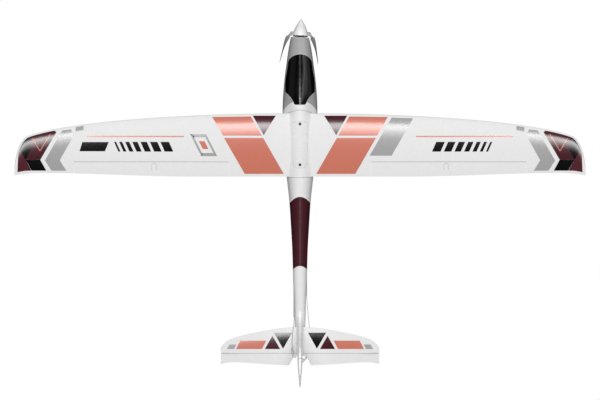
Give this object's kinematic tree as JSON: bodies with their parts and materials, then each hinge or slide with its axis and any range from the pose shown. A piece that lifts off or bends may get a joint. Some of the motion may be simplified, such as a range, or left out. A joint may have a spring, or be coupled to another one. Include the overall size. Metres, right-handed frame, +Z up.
{
  "type": "rc foam airplane",
  "caption": "Foam electric glider with a folding propeller, lift-off canopy, hinged control surfaces and their servo linkages.",
  "frame": {"origin": "on the ground, under the middle of the aircraft's length and span", "axes": "+Y to the nose, +X to the right wing tip, +Z up"},
  "size_m": [1.524, 0.9881, 0.236],
  "materials": {
    "aluminium": "machined",
    "battery_wrap": "shrink film",
    "black_glazing": "gloss black",
    "black_plastic": "moulded, matt",
    "blue_servo": "translucent blue case",
    "carbon": "carbon tube",
    "copper": "enamelled winding on a laminated core",
    "grey_foam": "moulded bead foam, painted grey",
    "grey_plastic": "moulded, satin",
    "plywood": "bare plywood",
    "steel": "bright",
    "strap_fabric": "woven strap",
    "white_foam": "moulded bead foam, painted white",
    "white_plastic": "moulded, satin"
  },
  "bodies": {
    "airframe": {"fuselage_left_shell": "white_foam", "fuselage_right_shell": "white_foam", "wing_left_panel": "white_foam", "wing_right_panel": "white_foam", "wing_centre_fairing": "white_foam", "wing_clamp_plate": "white_plastic", "wing_screw_front": "steel", "wing_screw_rear": "steel", "wing_seat_front": "plywood", "wing_seat_rear": "plywood", "wing_joiner_rod": "carbon", "horizontal_stabilizer": "white_foam", "vertical_fin": "white_foam", "left_aileron_servo": "blue_servo", "right_aileron_servo": "blue_servo", "elevator_servo": "blue_servo", "rudder_servo": "blue_servo", "elevator_guide_tube": "grey_plastic", "rudder_guide_tube": "grey_plastic", "motor_firewall": "plywood", "motor_stator": "copper", "magnet_arch": "plywood", "fuselage_magnet": "steel", "equipment_tray": "plywood", "battery_pack": "battery_wrap", "battery_strap": "strap_fabric", "speed_controller": "black_plastic", "radio_receiver": "black_plastic"},
    "canopy": {"canopy_hatch": "grey_foam", "canopy_glazing": "black_glazing", "canopy_magnet": "steel"},
    "rotor": {"spinner_cone": "white_plastic", "spinner_backplate": "grey_plastic", "prop_yoke": "aluminium", "motor_bell": "aluminium", "motor_shaft": "steel", "left_blade_pin": "steel", "right_blade_pin": "steel"},
    "left_blade": {"left_propeller_blade": "grey_plastic"},
    "right_blade": {"right_propeller_blade": "grey_plastic"},
    "left_aileron": {"left_aileron": "white_foam", "left_aileron_horn": "white_plastic"},
    "left_aileron_arm": {"left_aileron_servo_arm": "white_plastic"},
    "left_aileron_link": {"left_aileron_pushrod": "steel", "left_aileron_clevis": "black_plastic"},
    "right_aileron": {"right_aileron": "white_foam", "right_aileron_horn": "white_plastic"},
    "right_aileron_arm": {"right_aileron_servo_arm": "white_plastic"},
    "right_aileron_link": {"right_aileron_pushrod": "steel", "right_aileron_clevis": "black_plastic"},
    "elevator_surface": {"elevator": "white_foam", "elevator_horn": "white_plastic"},
    "elevator_arm": {"elevator_servo_arm": "white_plastic"},
    "elevator_link": {"elevator_pushrod": "steel", "elevator_clevis": "black_plastic"},
    "rudder_surface": {"rudder": "white_foam", "rudder_horn": "white_plastic"},
    "rudder_arm": {"rudder_servo_arm": "white_plastic"},
    "rudder_link": {"rudder_pushrod": "steel", "rudder_clevis": "black_plastic"}
  },
  "joints": [
    {"name": "canopy_lift", "type": "slide", "parent": "airframe", "child": "canopy", "axis": [0, 0, 1], "range_m": [0, 0.12]},
    {"name": "motor_spin", "type": "hinge", "parent": "airframe", "child": "rotor", "pos_m": [0.001, 0.4482, 0.044], "axis": [0.0523, 0.998, -0.0349], "continuous": true},
    {"name": "left_blade_fold", "type": "hinge", "parent": "rotor", "child": "left_blade", "pos_m": [-0.02326, 0.45528, 0.0438], "axis": [-0.0018, -0.0349, -0.9994], "range_deg": [0, 71]},
    {"name": "right_blade_fold", "type": "hinge", "parent": "rotor", "child": "right_blade", "pos_m": [0.02587, 0.4527, 0.0438], "axis": [0.0018, 0.0349, 0.9994], "range_deg": [0, 71]},
    {"name": "left_aileron_hinge", "type": "hinge", "parent": "airframe", "child": "left_aileron", "pos_m": [-0.391, 0.1082, 0.11444], "axis": [0.9979, 0, -0.065], "range_deg": [-20, 20]},
    {"name": "left_aileron_servo_turn", "type": "hinge", "parent": "airframe", "child": "left_aileron_arm", "pos_m": [-0.391, 0.156, 0.11354], "axis": [0.9979, 0, -0.065], "range_deg": [-20, 20]},
    {"name": "left_aileron_rod_turn", "type": "hinge", "parent": "left_aileron_arm", "child": "left_aileron_link", "pos_m": [-0.39178, 0.156, 0.10157], "axis": [0.9979, 0, -0.065], "range_deg": [-20, 20]},
    {"name": "right_aileron_hinge", "type": "hinge", "parent": "airframe", "child": "right_aileron", "pos_m": [0.391, 0.1082, 0.11444], "axis": [0.9979, 0, 0.065], "range_deg": [-20, 20]},
    {"name": "right_aileron_servo_turn", "type": "hinge", "parent": "airframe", "child": "right_aileron_arm", "pos_m": [0.391, 0.156, 0.11354], "axis": [0.9979, 0, 0.065], "range_deg": [-20, 20]},
    {"name": "right_aileron_rod_turn", "type": "hinge", "parent": "right_aileron_arm", "child": "right_aileron_link", "pos_m": [0.39178, 0.156, 0.10157], "axis": [0.9979, 0, 0.065], "range_deg": [-20, 20]},
    {"name": "elevator_hinge", "type": "hinge", "parent": "airframe", "child": "elevator_surface", "pos_m": [0, -0.405, 0.07395], "axis": [1, 0, 0], "range_deg": [-20, 20]},
    {"name": "elevator_servo_turn", "type": "hinge", "parent": "airframe", "child": "elevator_arm", "pos_m": [-0.0155, 0.13406, 0.02294], "axis": [1, 0, 0], "range_deg": [-20, 20]},
    {"name": "elevator_rod_turn", "type": "hinge", "parent": "elevator_arm", "child": "elevator_link", "pos_m": [-0.0155, 0.135, 0.0339], "axis": [1, 0, 0], "range_deg": [-20, 20]},
    {"name": "rudder_hinge", "type": "hinge", "parent": "airframe", "child": "rudder_surface", "pos_m": [0, -0.4127, 0.06], "axis": [0, 0, 1], "range_deg": [-25, 25]},
    {"name": "rudder_servo_turn", "type": "hinge", "parent": "airframe", "child": "rudder_arm", "pos_m": [0, 0.08, 0.0458], "axis": [0, 0, 1], "range_deg": [-25, 25]},
    {"name": "rudder_rod_turn", "type": "hinge", "parent": "rudder_arm", "child": "rudder_link", "pos_m": [0.0175, 0.08, 0.0458], "axis": [0, 0, 1], "range_deg": [-25, 25]}
  ],
  "couplings": [
    {"joint": "left_aileron_servo_turn", "follows": "left_aileron_hinge", "ratio": 1},
    {"joint": "left_aileron_rod_turn", "follows": "left_aileron_hinge", "ratio": -1},
    {"joint": "right_aileron_servo_turn", "follows": "right_aileron_hinge", "ratio": 1},
    {"joint": "right_aileron_rod_turn", "follows": "right_aileron_hinge", "ratio": -1},
    {"joint": "elevator_servo_turn", "follows": "elevator_hinge", "ratio": 1},
    {"joint": "elevator_rod_turn", "follows": "elevator_hinge", "ratio": -1},
    {"joint": "rudder_servo_turn", "follows": "rudder_hinge", "ratio": 1},
    {"joint": "rudder_rod_turn", "follows": "rudder_hinge", "ratio": -1}
  ]
}
